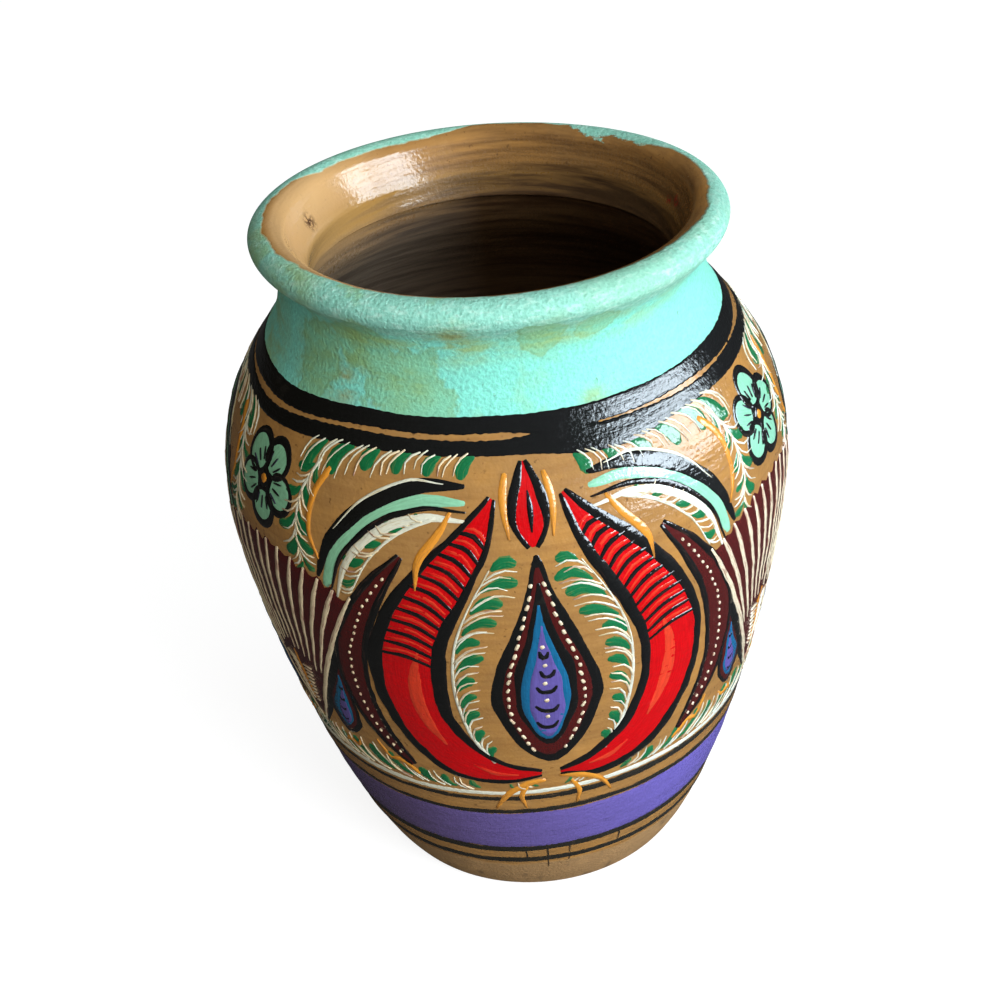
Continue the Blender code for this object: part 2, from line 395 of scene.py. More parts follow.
class Coat:
    """All the strokes of one paint. It becomes one piece."""

    def __init__(self, lift, body, seed):
        self.lift, self.body = lift, body
        self.rng = np.random.default_rng(seed)
        self.sheets = []

    def stroke(self, points, spacing=1.6, wobble=0.12, columns=None):
        """One pull of the brush: a low rounded ridge of paint whose rim is sunk in the wall."""
        path, run = through(points, spacing)
        rows = len(path)
        centre, half = path[:, :2], np.maximum(path[:, 2], NARROWEST)
        left = left_of(unit(np.gradient(centre, axis=0)))
        ends = np.clip(np.minimum(run, run[-1] - run) / np.maximum(half, 0.1), 0, 1)
        half = half * np.sqrt(np.clip(1 - (1 - ends) ** 2, 0.02, 1))
        widest = half.max()
        columns = columns or (4 if widest < 1.3 else 5 + 2 * int(widest / 1.9))
        rim = 1 - np.minimum(0.45 if columns > 4 else 0.28, 0.30 / np.maximum(half, 0.1))
        inner = [a * rim for a in np.linspace(-1, 1, columns - 2)]
        v = np.column_stack([-np.ones(rows), *inner, np.ones(rows)])
        offset = v * half[:, None]
        shake = smooth(self.rng.normal(0, wobble, (rows, 2))) * np.minimum(1, half / 1.2)[:, None]
        offset[:, :2] -= shake[:, :1]
        offset[:, -2:] += shake[:, 1:]
        x = centre[:, :1] + left[:, :1] * offset
        s = centre[:, 1:] + left[:, 1:] * offset
        height = self.lift + self.body * (1 - 0.35 * v * v) + self.rng.normal(0, 0.006, v.shape)
        height[:, 0] = height[:, -1] = height[0] = height[-1] = RIM_SUNK
        load = np.repeat(np.linspace(1, 0, rows)[:, None], columns, 1)
        reach = np.minimum(0.7, 0.9 * half)[:, None]
        edge = 1 - np.clip(half[:, None] * (1 - np.abs(v)) / reach, 0, 1)
        start = self.rng.uniform(0, 90, 2)
        along = start[0] + np.repeat(run[:, None], columns, 1)
        self.sheets.append((x, s, height, along, start[1] + offset, load, edge, False))

    def ring(self, low, high, around, columns):
        """A band round the pot, between two edges given at even steps round the belly."""
        steps, wide = len(low), high - low
        rim = 0.3 / np.maximum(wide, 0.4)
        inner = [rim + (1 - 2 * rim) * a for a in np.linspace(0, 1, columns - 2)]
        share = np.column_stack([np.zeros(steps), *inner, np.ones(steps)])
        s = low[:, None] + share * wide[:, None]
        x = np.repeat(np.linspace(-around / 2, around / 2, steps, endpoint=False)[:, None], columns, 1)
        height = self.lift + self.body + self.rng.normal(0, 0.004, s.shape)
        height[:, 0] = height[:, -1] = RIM_SUNK
        height[wide < 0.35] = RIM_SUNK
        edge = 1 - np.clip(np.minimum(s - low[:, None], high[:, None] - s) / 0.7, 0, 1)
        self.sheets.append((x, s, height, x, s, np.full(s.shape, 0.8), edge, True))

    def dry(self, name, form, finish):
        """Lays the strokes on the pot as one piece."""
        points, marks, loads, edges, faces = [], [], [], [], []
        first = 0
        for x, s, height, u, v, load, edge, closed in self.sheets:
            rows, columns = x.shape
            points.append(form.laid(x.ravel(), s.ravel(), height.ravel()))
            loads.append(load.ravel())
            edges.append(edge.ravel())
            i, j = np.meshgrid(np.arange(rows if closed else rows - 1), np.arange(columns - 1), indexing="ij")
            here, there = i * columns + j, (i + 1) % rows * columns + j
            quads = np.stack([here, there, there + 1, here + 1], -1).reshape(-1, 4)
            corners = np.column_stack([u.ravel(), v.ravel()])[quads]
            if closed:
                corners[quads[:, 1] < columns, 1:3, 0] += rows * (u[1, 0] - u[0, 0])
            marks.append(corners.reshape(-1, 2))
            faces.append(first + quads)
            first += rows * columns
        mesh = bpy.data.meshes.new(name)
        mesh.from_pydata(np.concatenate(points).tolist(), [], np.concatenate(faces).tolist())
        mesh.uv_layers.new(name="brush").data.foreach_set("uv", (np.concatenate(marks) * 0.1).ravel())
        note(mesh, "load", np.concatenate(loads))
        note(mesh, "edge", np.concatenate(edges))
        mesh.shade_smooth()
        mesh.materials.append(finish)
        piece = bpy.data.objects.new(name, mesh)
        bpy.context.collection.objects.link(piece)
        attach(piece, "root")


class Pen:
    """Draws one panel's motifs on the flat sheet, mirrored for its left side, each a little different."""

    def __init__(self, coats, middle, side, rng):
        self.coats, self.middle, self.side, self.rng = coats, middle, side, rng

    def place(self, points, shake=0.35):
        shift = self.rng.normal(0, shake, 2)
        return [
            (
                self.middle + self.side * x + shift[0] + self.rng.normal(0, shake * 0.4),
                s + shift[1] + self.rng.normal(0, shake * 0.4),
                half * (1 + self.rng.normal(0, 0.04)),
            )
            for x, s, half in points
        ]

    def draw(self, paint, points, shake=0.35, **how):
        self.coats[paint].stroke(self.place(points, shake), **how)

    def edges(self, points, width, inset=0.0):
        """Two black outlines along both edges of a broad stroke."""
        path, _ = through(points, 3.0)
        left = left_of(unit(np.gradient(path[:, :2], axis=0)))
        taper = np.sqrt(np.clip(np.sin(np.linspace(0.15, math.pi - 0.10, len(path))), 0, 1))
        taper = taper * (1 + 0.24 * np.sin(np.linspace(0, 9, len(path)) + self.rng.uniform(0, 6)))
        for sign in (-1, 1):
            edge = path[:, :2] + sign * left * (path[:, 2:] - inset)
            self.coats["outline"].stroke(np.column_stack([edge, width * taper]), wobble=0.20)

    def flick(self, root, tip, bend, paint, widths, **how):
        """One curved stroke from root to tip, with its half widths on the way."""
        way = tip - root
        out = bend * left_of(way)
        places = (root, root + 0.30 * way + 0.78 * out, root + 0.66 * way + out, tip)
        self.draw(paint, [(*p, w) for p, w in zip(places, widths)], 0.18, **how)

    def spray(self, stem, reach, sides, leaf, lean=0.9, every=2.1, hairs=2, stalk=False):
        """Green leaves with light hairs between them along a stem. Their reach changes along it."""
        path, run = through([(*p, 1.0) for p in stem], 0.5)
        for sign in sides:
            for k, at in enumerate(np.arange(0.7 + 0.5 * every * (sign > 0), run[-1], every)):
                i = min(len(path) - 2, int(np.searchsorted(run, at + self.rng.uniform(-0.25, 0.25))))
                root, way = path[i, :2], heading(path, i)
                size = np.interp(at / run[-1], np.linspace(0, 1, len(reach)), reach)
                size = size * self.rng.uniform(0.80, 1.12)
                tip = root + size * (way * lean + left_of(way) * sign) / math.hypot(lean, 1)
                bend = -0.19 * sign * self.rng.uniform(0.6, 1.35)
                if k % (hairs + 1) == 0:
                    w = leaf * min(1.0, size / 6.0) * self.rng.uniform(0.85, 1.12)
                    widths = (0.22 * w, 0.66 * w, w, 0.86 * w)
                    self.flick(root + 0.10 * (tip - root), tip, bend, "green", widths, spacing=1.3, wobble=0.10)
                else:
                    w = self.rng.uniform(0.23, 0.35)
                    light = "white" if self.rng.random() < 0.5 else "cream"
                    widths = (0.7 * w, w, 0.85 * w, 0.3 * w)
                    self.flick(root, tip, bend, light, widths, spacing=2.0, wobble=0.05, columns=4)
        if stalk:
            widths = np.linspace(0.60, 0.16, len(stem))
            self.draw("white", [(*p, w) for p, w in zip(stem, widths)], 0.15)


# The motifs, each point (x, s, half width) in millimetres from its panel's middle and the foot

DROP = (
    (0.0, 0.30), (0.10, 0.62), (0.24, 0.95), (0.36, 1.0), (0.52, 0.86), (0.70, 0.52), (0.86, 0.24), (1.0, 0.06),
)
FAN_FOOT, FAN_SPREAD, FAN_REACH, FAN_RIBS = 59.5, 27.0, 61.0, 13
ROSETTE_HEIGHT, ROSETTE_RADIUS = 136.4, 11.3
BUD_DOTS = 20


def nested_drop(pen, root, tip, layers):
    """Drops of paint inside one another, each (paint, start, end, half width), from root to tip."""
    root, tip = np.array(root, float), np.array(tip, float)
    for paint, start, end, wide in layers:
        places = [root + (tip - root) * (start + (end - start) * t) for t, _ in DROP]
        pen.draw(paint, [(*p, wide * w) for p, (_, w) in zip(places, DROP)], 0.2)


def draw_bud(pen):
    """An upright drop, nested in five colours, with dotted borders and short marks down its heart."""
    layers = (
        ("black", 0, 1, 13.6), ("maroon", 0.040, 0.955, 10.8), ("outline", 0.100, 0.890, 7.6),
        ("blue", 0.130, 0.810, 6.0), ("purple", 0.155, 0.730, 4.5),
    )
    nested_drop(pen, (0, 64.5), (0, 130.0), layers)
    for k, wide in enumerate((2.9, 3.0, 2.5, 1.8, 1.2)):
        s = 78.5 + 5.9 * k
        mark = ((-1, 2.0, 0.35), (-0.45, -0.1, 0.85), (0.5, -0.3, 0.90), (1, 1.7, 0.30))
        pen.draw("fine", [(wide * x, s + up, half) for x, up, half in mark], 0.25, spacing=0.8, wobble=0.08)
        pen.draw("dots", ((-0.65, s + 2.9, 0.70), (0.55, s + 3.3, 0.75)), 0.2, spacing=0.7)
    for side in (-1, 1):
        for k in range(BUD_DOTS):
            t = 0.045 + 0.88 * k / (BUD_DOTS - 1) + pen.rng.uniform(-0.004, 0.004)
            x, s = side * (9.25 * np.interp(t, *zip(*DROP)) + 0.1), 67.1 + 60.0 * t
            half, reach = pen.rng.uniform(0.42, 0.62), pen.rng.uniform(0.45, 0.95)
            lean = side * (0.5 * (t > 0.4) - 0.6 * (t < 0.3)) * reach
            dot = ((x + lean, s - reach, half), (x - lean, s + reach, 0.8 * half))
            pen.draw("dots", dot, 0.12, spacing=0.8, wobble=0.08)


def draw_petal(pen):
    """A broad red petal that sweeps out round the bud and in under the neck, ribbed in black at its end."""
    petal = (
        (2.2, 59.6, 1.2), (13, 60.6, 4.4), (24.6, 67.0, 6.9), (31.8, 79.5, 8.3), (33.0, 95, 8.3),
        (29.0, 110, 7.3), (21.3, 123, 5.9), (13.6, 133.5, 3.9), (8.4, 142.6, 0.9),
    )
    placed = pen.place(petal, 0.3)
    pen.coats["red"].stroke(placed, spacing=1.8)
    pen.edges(placed, 1.65, inset=0.3)
    path, _ = through(placed, 3.4)
    for k in range(int(len(path) * 0.55), int(len(path) * 0.90)):
        way = heading(path, k, 1)
        out, middle = left_of(way) * path[k, 2], path[k, :2]
        for paint, on, reach, side, bow, half, spacing in (
            ("outline", 0.0, 0.92, (0.45, 0.42), 1.3, 0.70, 1.6),
            ("scarlet", 1.7, 0.72, (0.30, 0.30), 1.3, 0.55, 1.8),
        ):
            c = middle + way * on
            rib = ((*(c - out * reach), side[0]), (*(c + way * bow), half), (*(c + out * reach), side[1]))
            pen.coats[paint].stroke(rib, spacing=spacing)
    pen.draw("scarlet", ((27.2, 71.5, 0.5), (31.4, 82, 2.0), (32.0, 94, 1.8), (29.5, 104, 0.4)), 0.3)
    pen.draw("scarlet", ((9.5, 60.4, 0.3), (16.0, 61.6, 1.0), (21.6, 64.9, 0.4)), 0.3)


def draw_crescent(pen):
    """A maroon crescent that hugs the petal, outlined in black, with a row of cream dots."""
    crescent = (
        (38.4, 60.0, 0.7), (45.0, 69.5, 2.7), (48.6, 82, 3.9), (47.9, 96, 3.9),
        (43.6, 108.5, 3.3), (37.2, 120, 2.2), (30.4, 129.4, 0.5),
    )
    placed = pen.place(crescent, 0.25)
    pen.coats["maroon"].stroke(placed)
    pen.edges(placed, 1.0)
    path, _ = through(placed, 2.5)
    for k in range(3, len(path) - 4):
        way = heading(path, k)
        here = path[k, :2] + pen.rng.normal(0, 0.12, 2)
        dot = ((*(here - 0.5 * way), 0.40), (*(here + 0.5 * way), 0.40))
        pen.coats["dots"].stroke(dot, spacing=1.0, wobble=0.05)


def draw_crown(pen):
    """A small red flame over the bud, outlined in black."""
    flame = ((0, 131.4, 0.9), (0, 135.6, 3.4), (0, 140.4, 3.8), (0, 145.4, 2.4), (0, 150.6, 0.5))
    placed = pen.place(flame, 0.2)
    pen.coats["red"].stroke(placed)
    pen.edges(placed, 1.15)
    pen.draw("fine", ((0, 134.5, 0.2), (0.2, 139.5, 0.75), (0, 144.0, 0.15)), 0.1)


def draw_fan(pen):
    """A maroon shell with cream ribs, rows of hatching at its foot and two light edges between dark ones."""
    rng, spread, reach, ribs = pen.rng, FAN_SPREAD, FAN_REACH, FAN_RIBS

    def at(r, degrees):
        a = math.radians(degrees)
        return pen.middle + r * math.sin(a), FAN_FOOT + r * math.cos(a)

    steps = 45
    scallop = np.abs(np.cos(np.linspace(0, math.pi * ribs, steps)))
    scallop = reach + 1.8 * scallop + rng.normal(0, 0.3, steps)
    shares = np.concatenate([[0.0, 0.012], np.linspace(0.05, 0.985, 30), [1.0]])
    rays = zip(np.linspace(-spread, spread, steps), scallop)
    x, s = np.moveaxis([[at(3 + (far - 3) * share, d) for share in shares] for d, far in rays], -1, 0)
    maroon = pen.coats["maroon"]
    height = maroon.lift + maroon.body + rng.normal(0, 0.004, x.shape)
    height[0] = height[-1] = height[:, 0] = height[:, -1] = RIM_SUNK
    u, v = np.meshgrid(np.linspace(0, 60, len(shares)), np.linspace(0, 60, steps))
    maroon.sheets.append((x, s, height, u, v, np.full(x.shape, 0.8), np.zeros(x.shape), False))

    dark = ((1, 22, 0.6), (14, 7.0, 1.5), (34, 2.8, 1.7), (52, 1.6, 1.3), (reach + 5, 1.0, 0.4))
    light = ((1, 0, 0.3), (14, -0.2, 0.75), (34, -0.3, 0.85), (52, -0.2, 0.8), (reach + 3, 0, 0.4))
    for side in (-1, 1):
        for paint, border in (("black", dark), ("cream", light)):
            pen.coats[paint].stroke([(*at(r, side * (spread + bow)), w) for r, bow, w in border])
    for k in range(1, ribs):
        d = -spread + 2 * spread * k / ribs + rng.normal(0, 0.25)
        low = 27.5 + rng.uniform(-1.5, 2.5) - 4.0 * abs(2 * k / ribs - 1)
        side = 1 if k < ribs / 2 else -1
        rib = (
            (low, -0.6, 0.15), (low + 8, -0.2, 0.46), (low + 19, 0.3, 0.68),
            (reach - 6, 0.2, 0.82), (reach + 1.5, 0, 0.50),
        )
        pen.coats["cream"].stroke([(*at(r, d + bow * side), w) for r, bow, w in rib], wobble=0.07)
    for column in (-1, 1):
        for k in range(10):
            r = 9.0 + 1.55 * k
            x, s = at(r, column * (8.5 + 0.1 * k))
            half, tilt = 0.45 + 0.085 * r, 0.45 * column
            hatch = ((x - half, s - tilt, 0.14), (x, s + 0.1, 0.36), (x + half, s + tilt, 0.16))
            pen.coats["dots"].stroke(hatch, spacing=1.3, wobble=0.05, columns=4)
    tongue = ((8, 0, 0.25), (14, 1.5, 0.9), (21, -1.5, 1.0), (27, 0, 0.2))
    pen.coats["orange"].stroke([(*at(r, d), w) for r, d, w in tongue])


def draw_rosette(pen):
    """A round flower of five mint petals, each ringed in black."""
    radius, rng = ROSETTE_RADIUS, pen.rng
    heart = np.array([pen.middle, ROSETTE_HEIGHT])
    tilt = rng.uniform(0, 1.2)

    def out(a):
        return np.array([math.cos(a), math.sin(a)])

    for k in range(5):
        a = tilt + k * 2 * math.pi / 5
        middle, r = heart + 0.60 * radius * out(a), 0.40 * radius * rng.uniform(0.93, 1.08)
        shares = (-0.98, -0.8, -0.4, 0, 0.4, 0.8, 0.98)
        disc = [(*(middle + r * t * out(a)), r * math.sqrt(max(0.02, 1 - t * t))) for t in shares]
        pen.coats["mint"].stroke(disc, spacing=0.9)
        turns = line(a + 2.6, a + 2.6 + 2 * math.pi, 16)
        ring = [(*(middle + r * out(b)), 0.95 + 0.25 * math.sin(b + k)) for b in turns]
        pen.coats["black"].stroke(ring, spacing=1.3, wobble=0.08)
        for turn in (-0.35, 0.0, 0.35):
            way = radius * out(a + turn)
            hair = [(*(heart + far * way), w) for far, w in ((0.36, 0.15), (0.52, 0.28), (0.66, 0.1))]
            pen.coats["fine"].stroke(hair, spacing=1.0, wobble=0.03, columns=4)
    for paint, size in (("outline", (2.4, 0.8, 2.4)), ("orange", (1.4, 0.5, 1.5))):
        far, thin, wide = size
        dot = ((*(heart - (0, far)), thin), (*heart, wide), (*(heart + (0, far)), thin))
        pen.coats[paint].stroke(dot, spacing=0.8)


def draw_plume(pen):
    """Long bands of black, mint and white that arch from under the neck towards the fan."""
    arch = ((14.8, 142.6), (26.0, 142.8), (37.4, 138.2), (46.6, 128.8), (51.0, 117.5))
    for paint, shift, widths in (
        ("black", 2.9, (0.6, 1.8, 2.1, 1.8, 0.7)),
        ("mint", -0.4, (0.8, 1.6, 1.9, 1.8, 1.3)),
        ("outline", -2.9, (0.2, 0.7, 0.9, 0.7, 0.2)),
        ("white", -4.9, (0.3, 1.0, 1.3, 1.0, 0.3)),
    ):
        band = zip(range(len(arch)), arch, widths)
        pen.draw(paint, [(x + 0.16 * shift * k, s + shift * (1 - 0.12 * k), w) for k, (x, s), w in band], 0.2)
    pen.draw("white", ((20.0, 146.2, 0.12), (29.5, 146.4, 0.4), (40.5, 141.2, 0.4), (48.0, 132.5, 0.12)), 0.25)


def draw_sprays(pen):
    """Green leaves and thin white ones on stems that fill the ground between the larger forms."""
    beside_bud = ((14.6, 65.0), (19.6, 76), (21.6, 90), (20.4, 104), (16.2, 116), (10.2, 127))
    under_plume = ((21.5, 139.0), (31.0, 134.6), (38.6, 127.0), (43.6, 117.5))
    beside_rosette = ((54.5, 147.5), (58.4, 139), (59.2, 130), (57.2, 121.5))
    pen.spray(beside_bud, (4.4, 7.0, 8.6, 9.6, 10.4, 7.0), (1,), 1.75, stalk=True)
    pen.spray(under_plume, (4.4, 6.4, 6.0, 3.8), (1,), 1.6, stalk=True)
    pen.spray(beside_rosette, (5.4, 7.0, 6.8, 4.4), (-1, 1), 1.55, stalk=True)
    on_line = ((18.0, 53.9), (34, 54.1), (50, 53.9), (71.5, 54.1))
    pen.spray(on_line, (4.8, 8.0, 11.4, 11.6, 7.4), (1,), 1.8, lean=0.8, every=2.15)
    pen.spray(((1.2, 54.0), (11.0, 54.0)), (4.2, 3.0), (1,), 1.1, lean=0.8)
    xs = np.array((11, 24, 36, 48, 58))
    turn = (pen.middle + pen.side * xs) * MM / bpy.context.scene.vase_clay.belly_radius
    under_neck = list(zip(xs, neck_band_edges(turn)[2] + 0.8))
    pen.spray(under_neck, (6.4, 6.0, 7.6, 11.0, 9.0), (-1,), 2.0, lean=0.75, every=2.05, hairs=3)


def draw_side_buds(pen):
    """A small blue and purple drop on a curl in the corner between the crescent and the fan."""
    layers = (
        ("black", 0, 1, 5.6), ("maroon", 0.05, 0.93, 4.4),
        ("blue", 0.10, 0.84, 3.2), ("purple", 0.16, 0.72, 2.1),
    )
    nested_drop(pen, (60.6, 62.6), (53.4, 92.0), layers)
    for k in range(4):
        x, s, half = 59.0 - 1.15 * k, 69.0 + 4.3 * k, 1.3 - 0.2 * k
        pen.draw("fine", ((x - half, s + 0.9, 0.2), (x, s - 0.4, 0.45), (x + half, s + 1.0, 0.2)), 0.1)
    pen.draw("orange", ((63.8, 58.0, 0.3), (61.6, 60.0, 1.0), (58.5, 59.2, 0.8), (56.4, 61.8, 0.2)), 0.3)


def draw_commas(pen):
    """Quick orange strokes: curls at the foot of the flower and hooks beside the larger forms."""
    for shake, comma in (
        (0.4, ((1.6, 57.8, 0.5), (7.4, 56.6, 1.25), (13.2, 52.4, 1.0), (17.0, 46.4, 0.25))),
        (0.4, ((5.6, 55.8, 0.5), (8.0, 51.0, 0.85), (7.0, 45.6, 0.2))),
        (0.3, ((4.9, 148.6, 0.9), (6.0, 142.2, 0.95), (5.1, 134.0, 0.25))),
        (0.4, ((18.4, 139.4, 0.5), (21.5, 134.5, 1.1), (26.3, 127.8, 1.0), (27.6, 120.6, 0.2))),
        (0.4, ((50.8, 146.8, 1.1), (54.6, 140.6, 0.95), (54.8, 131.6, 0.8), (52.0, 124.5, 0.2))),
        (0.4, ((38.0, 57.2, 0.9), (42.8, 61.6, 0.9), (46.6, 61.0, 0.7), (49.5, 66.6, 0.2))),
    ):
        pen.draw("orange", comma, shake)


# Shader nodes


class Nodes:
    """Adds nodes to one shader tree. A value is a number, a colour, a vector or another node's output."""

    def __init__(self, tree):
        self.tree = tree

    def fill(self, inputs, values):
        for key, value in dict(values).items():
            if isinstance(value, bpy.types.NodeSocket):
                self.tree.links.new(value, inputs[key])
            else:
                inputs[key].default_value = value

    def add(self, kind, values=(), **settings):
        node = self.tree.nodes.new("ShaderNode" + kind)
        for key, value in settings.items():
            setattr(node, key, value)
        self.fill(node.inputs, values)
        return node

    @functools.cached_property
    def place(self):
        return self.add("TexCoord").outputs["Object"]

    def marked(self, name):
        """What finish_clay or dry has noted for each point of the piece."""
        return self.add("Attribute", attribute_name=name).outputs["Fac"]

    def fold(self, operation, values):
        total, *others = values
        for value in others:
            total = self.add("Math", {0: total, 1: value}, operation=operation).outputs[0]
        return total

    def times(self, *values):
        return self.fold("MULTIPLY", values)

    def plus(self, *values):
        return self.fold("ADD", values)

    def swing(self, value, size):
        """A noise about a half becomes one about nothing, times its size."""
        return self.times(self.fold("SUBTRACT", (value, 0.5)), size)

    def mix(self, factor, first, second, blend="MIX"):
        return self.add("Mix", {0: factor, 6: first, 7: second}, data_type="RGBA", blend_type=blend).outputs[2]

    def over(self, below, *layers):
        """Layers of (mask, share, colour), laid one after another over the colour below."""
        for mask, share, tone in layers:
            below = self.mix(self.times(mask, share), below, tone)
        return below

    def spread(self, value, low, high, to_low=0.0, to_high=1.0):
        """The value's way from low to high becomes the way between two other ends, and stops there."""
        values = {"Value": value, "From Min": low, "From Max": high, "To Min": to_low, "To Max": to_high}
        return self.add("MapRange", values, clamp=True).outputs["Result"]

    def stretched(self, *scale):
        return self.add("Mapping", {"Vector": self.place, "Scale": scale}).outputs[0]

    def noise(self, scale, detail, roughness, place=None):
        place = self.place if place is None else place
        values = {"Vector": place, "Scale": scale, "Detail": detail, "Roughness": roughness}
        return self.add("TexNoise", values).outputs["Fac"]

    def near(self, spots, core=0.35):
        """1 in the core of a spot and 0 past its reach. A spot is (x, y, z, reach), in millimetres."""
        fades = []
        for *spot, reach in spots:
            there = [value * MM for value in spot]
            away = self.add("VectorMath", {0: self.place, 1: there}, operation="DISTANCE").outputs["Value"]
            fades.append(self.spread(away, reach * MM, reach * core * MM))
        return self.fold("MAXIMUM", fades)

    def ragged(self, spots, noise, low, high):
        return self.times(self.near(spots), self.spread(noise, low, high))

    def effect(self, name, place=None, **values):
        """A node group from EFFECTS, which is built once."""
        values["Vector"] = self.place if place is None else place
        group = bpy.data.node_groups.get(name) or effect_group(name)
        return self.add("Group", values, node_tree=group).outputs[0]

    def bump(self, layers):
        """Relief from layers of (height, millimetres)."""
        height = self.plus(*[self.times(value, depth) for value, depth in layers])
        return self.add("Bump", {"Height": height, "Strength": 1.0, "Distance": MM}).outputs["Normal"]


def brush_drag(n, given):
    """The hairs of the brush: long thin ridges along a stroke."""
    squeeze = n.add("CombineXYZ", {"X": given["Along"], "Y": given["Across"], "Z": 1.0}).outputs[0]
    drawn = n.add("VectorMath", {0: given["Vector"], 1: squeeze}, operation="MULTIPLY").outputs[0]
    return n.spread(n.noise(1.0, 4.0, 0.6, drawn), 0.3, 0.7)


def grain(n, given):
    """Fine sand in clay or matt paint."""
    fine = n.noise(given["Size"], 4.0, 0.7, given["Vector"])
    cells = n.add("TexVoronoi", {"Vector": given["Vector"], "Scale": given["Size"]}).outputs["Distance"]
    return n.plus(n.times(fine, 0.75), n.times(cells, 0.3))


def mottle(n, given):
    """Soft patches with a set share of the surface."""
    low = n.fold("SUBTRACT", (1.0, given["Share"]))
    patches = n.spread(n.noise(given["Size"], 5.0, 0.62, given["Vector"]), 0.2, 0.8)
    return n.spread(patches, low, n.plus(low, given["Softness"]))


EFFECTS = {
    # name: what fills it, its output, its inputs with their usual values
    "Brush drag": (brush_drag, "Ridges", {"Vector": None, "Along": 2.0, "Across": 30.0}),
    "Grain": (grain, "Height", {"Vector": None, "Size": 900.0}),
    "Mottle": (mottle, "Patches", {"Vector": None, "Size": 60.0, "Share": 0.5, "Softness": 0.2}),
}


def effect_group(name):
    fill, output, inputs = EFFECTS[name]
    tree = bpy.data.node_groups.new(name, "ShaderNodeTree")
    for label, usual in inputs.items():
        kind = "NodeSocketVector" if usual is None else "NodeSocketFloat"
        socket = tree.interface.new_socket(label, in_out="INPUT", socket_type=kind)
        if usual is not None:
            socket.default_value = usual
    tree.interface.new_socket(output, in_out="OUTPUT", socket_type="NodeSocketFloat")
    start, end = tree.nodes.new("NodeGroupInput"), tree.nodes.new("NodeGroupOutput")
    tree.links.new(fill(Nodes(tree), start.outputs), end.inputs[output])
    return tree


# Surfaces

# Linear colours of stains and wear, and of painted light and shade
DUST, WARM_SHADE = (0.34, 0.32, 0.28, 1), (0.80, 0.66, 0.42, 1)
PIT, SOOT = (0.09, 0.035, 0.012, 1), (0.045, 0.012, 0.008, 1)
SPLASH, DARK_RUN = (0.30, 0.008, 0.008, 1), (0.05, 0.032, 0.018, 1)
LIT_CLAY, CREASE_OCHRE, DEEPEST_SHADE = (0.63, 0.39, 0.175, 1), (0.36, 0.20, 0.035, 1), (0.036, 0.019, 0.010, 1)
SHADE_INSIDE, DARKER_SHADE_INSIDE = (0.085, 0.046, 0.019, 1), (0.034, 0.016, 0.007, 1)
LIGHT_INSIDE_LEFT, DIMMER_LIGHT_INSIDE_LEFT = (0.33, 0.262, 0.196, 1), (0.160, 0.122, 0.090, 1)
FRESH_LIP, WORN_LIP, CHALK_AND_GLINTS = (0.315, 0.70, 0.57, 1), (0.200, 0.500, 0.385, 1), (0.60, 0.86, 0.74, 1)
WASH, MOSS_GREEN, RUST_BROWN = (0.255, 0.50, 0.27, 1), (0.290, 0.390, 0.110, 1), (0.33, 0.25, 0.06, 1)
TIDE_GREEN, SHORE, UNDER_LIP = (0.215, 0.43, 0.165, 1), (0.20, 0.30, 0.10, 1), (0.33, 0.47, 0.155, 1)
SPECK = (0.10, 0.15, 0.07, 1)

# Places of stains and of bald or dripping paint, each (x, y, z, reach) in millimetres
SMUDGES = ((-42.5, 13.6, 171.9, 3.4), (-44.7, 15.5, 173.8, 3.0))
SPLASHES = ((44.9, 12.7, 169.4, 1.6), (46.3, 8.5, 170.8, 2.0))
MOSS = (
    (-38.5, -32.5, 160.0, 13.5), (-53.0, -12.0, 157.0, 15.0), (-20.0, -47.0, 160.0, 8.5),
    (-30.0, -43.0, 167.0, 12.0), (20.5, -50.0, 153.5, 5.0), (-8.5, -53.0, 171.0, 9.5),
    (-47.0, -32.0, 173.5, 9.0), (12.0, -54.0, 171.2, 8.0), (-54.0, -10.0, 176.0, 14.0),
    (-44.0, -33.0, 179.0, 12.0), (33.0, 44.0, 160.0, 13.0), (-10.0, 54.0, 156.0, 10.0),
)
RUST = ((-34.5, -40.0, 157.5, 6.0), (-10.0, -53.5, 171.6, 7.0), (-27.0, -45.0, 157.3, 4.0))
TIDE = (
    (-39.5, -31.5, 161.0, 13.0), (-19.6, -46.2, 160.0, 16.0), (-13.0, -48.6, 155.0, 10.0),
    (-27.0, -42.5, 167.0, 13.0), (10.0, -50.0, 171.0, 9.0), (21.0, -46.5, 172.0, 8.0),
)
DRIPS = ((33.0, 39.0, 175.0, 20.0),)
BALD_BACK = ((14.0, 50.0, 178.0, 26.0),)
FULL_BACK = ((-30.0, 44.0, 180.0, 34.0),)


def rgba(value, *by):
    """A colour for a node, made lighter or darker by one number or by one for each channel."""
    factors = by if len(by) == 3 else (by or (1.0,)) * 3
    return (*(min(1.0, channel * factor) for channel, factor in zip(value, factors)), 1.0)


def surface(name):
    """A new material, its nodes and its shader's sockets."""
    made = bpy.data.materials.new(name)
    made.use_nodes = True
    return made, Nodes(made.node_tree), made.node_tree.nodes["Principled BSDF"].inputs


def varnish_relief(n):
    """Broken rings and small bumps that show through the varnish and break up its shine."""
    return [(n.noise(190.0, 1.5, 0.5, n.stretched(1.0, 1.0, 4.5)), 0.135), (n.noise(1150.0, 1.0, 0.5), 0.105)]


